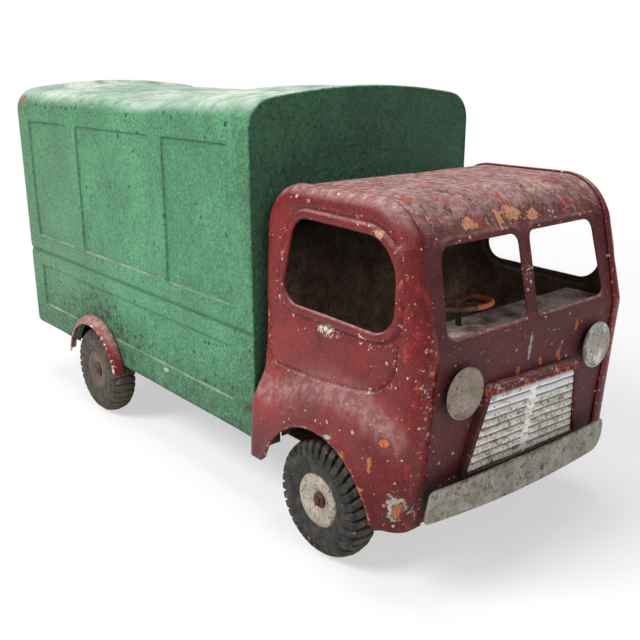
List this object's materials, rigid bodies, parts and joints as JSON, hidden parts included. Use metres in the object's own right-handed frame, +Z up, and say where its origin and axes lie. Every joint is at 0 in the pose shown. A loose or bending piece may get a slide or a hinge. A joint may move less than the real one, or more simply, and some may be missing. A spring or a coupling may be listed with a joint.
{
  "type": "toy box van",
  "caption": "Pressed-steel toy delivery van: open-window cab with steering wheel, box body with two hinged rear doors, rubber-tyred wheels that roll.",
  "frame": {"origin": "on the ground, under the middle of the van's overall box", "axes": "+Z up, the van's front towards -Y, its right-hand side towards -X"},
  "size_m": [0.2198, 0.516, 0.279],
  "materials": {
    "green_paint": "aged, orange-peel gloss gone satin",
    "dark_green_paint": "aged satin",
    "maroon_paint": "aged semi-gloss, chipped",
    "cab_inside": "dusty, rust-speckled",
    "silver_trim": "pitted, dull",
    "hub_metal": "pitted, tarnished",
    "rusty_steel": "rusted",
    "chassis_steel": "black paint, rusting",
    "front_tyre_rubber": "matt black rubber",
    "rear_tyre_rubber": "dusty matt rubber"
  },
  "bodies": {
    "van": {"axle_cap_front_right": "rusty_steel", "axle_cap_front_left": "rusty_steel", "axle_front": "rusty_steel", "axle_bracket_front": "chassis_steel", "axle_cap_rear_right": "rusty_steel", "axle_cap_rear_left": "rusty_steel", "axle_rear": "rusty_steel", "axle_bracket_rear": "chassis_steel", "chassis": "chassis_steel", "body_screw_front_right": "rusty_steel", "body_screw_front_left": "rusty_steel", "body_screw_rear_right": "rusty_steel", "body_screw_rear_left": "rusty_steel", "bumper": "silver_trim", "bumper_bracket_right": "chassis_steel", "bumper_bracket_left": "chassis_steel", "cab_side_right": "maroon_paint", "cab_side_left": "maroon_paint", "cab_front_and_roof": "maroon_paint", "cab_rear_panel": "cab_inside", "cab_floor": "cab_inside", "dash_shelf": "cab_inside", "grille_frame": "maroon_paint", "grille_plate": "silver_trim", "headlamp_back_right": "rusty_steel", "headlamp_disc_right": "silver_trim", "headlamp_back_left": "rusty_steel", "headlamp_disc_left": "silver_trim", "van_sides_and_roof": "green_paint", "van_front_wall": "dark_green_paint", "van_floor": "dark_green_paint", "rear_frame": "dark_green_paint", "rear_mudguard_right": "maroon_paint", "door_hinge_pin_right": "rusty_steel", "rear_mudguard_left": "maroon_paint", "door_hinge_pin_left": "rusty_steel"},
    "wheel_front_right": {"tyre_front_right": "front_tyre_rubber", "hub_outer_front_right": "hub_metal", "hub_inner_front_right": "hub_metal"},
    "wheel_front_left": {"tyre_front_left": "front_tyre_rubber", "hub_outer_front_left": "hub_metal", "hub_inner_front_left": "hub_metal"},
    "wheel_rear_right": {"tyre_rear_right": "rear_tyre_rubber", "hub_outer_rear_right": "hub_metal", "hub_inner_rear_right": "hub_metal"},
    "wheel_rear_left": {"tyre_rear_left": "rear_tyre_rubber", "hub_outer_rear_left": "hub_metal", "hub_inner_rear_left": "hub_metal"},
    "door_right": {"rear_door_right": "green_paint"},
    "door_left": {"rear_door_left": "green_paint"},
    "handle": {"door_handle": "rusty_steel"},
    "steering": {"steering_wheel": "rusty_steel", "steering_column": "rusty_steel"}
  },
  "joints": [
    {"name": "wheel_front_right_roll", "type": "hinge", "parent": "van", "child": "wheel_front_right", "pos_m": [-0.094, -0.177, 0.038], "axis": [1, 0, 0], "continuous": true},
    {"name": "wheel_front_left_roll", "type": "hinge", "parent": "van", "child": "wheel_front_left", "pos_m": [0.094, -0.177, 0.038], "axis": [1, 0, 0], "continuous": true},
    {"name": "wheel_rear_right_roll", "type": "hinge", "parent": "van", "child": "wheel_rear_right", "pos_m": [-0.094, 0.12, 0.038], "axis": [1, 0, 0], "continuous": true},
    {"name": "wheel_rear_left_roll", "type": "hinge", "parent": "van", "child": "wheel_rear_left", "pos_m": [0.094, 0.12, 0.038], "axis": [1, 0, 0], "continuous": true},
    {"name": "rear_door_right_hinge", "type": "hinge", "parent": "van", "child": "door_right", "pos_m": [-0.096, 0.2546, 0.15], "axis": [0, 0, 1], "range_deg": [0, 180]},
    {"name": "rear_door_left_hinge", "type": "hinge", "parent": "van", "child": "door_left", "pos_m": [0.096, 0.2546, 0.15], "axis": [0, 0, -1], "range_deg": [0, 180]},
    {"name": "door_handle_turn", "type": "hinge", "parent": "door_right", "child": "handle", "pos_m": [-0.01, 0.255, 0.15], "axis": [0, 1, 0], "range_deg": [0, 90]},
    {"name": "steering_turn", "type": "hinge", "parent": "van", "child": "steering", "pos_m": [-0.036, -0.223, 0.1605], "axis": [0, 0.1045, 0.9945], "continuous": true}
  ]
}
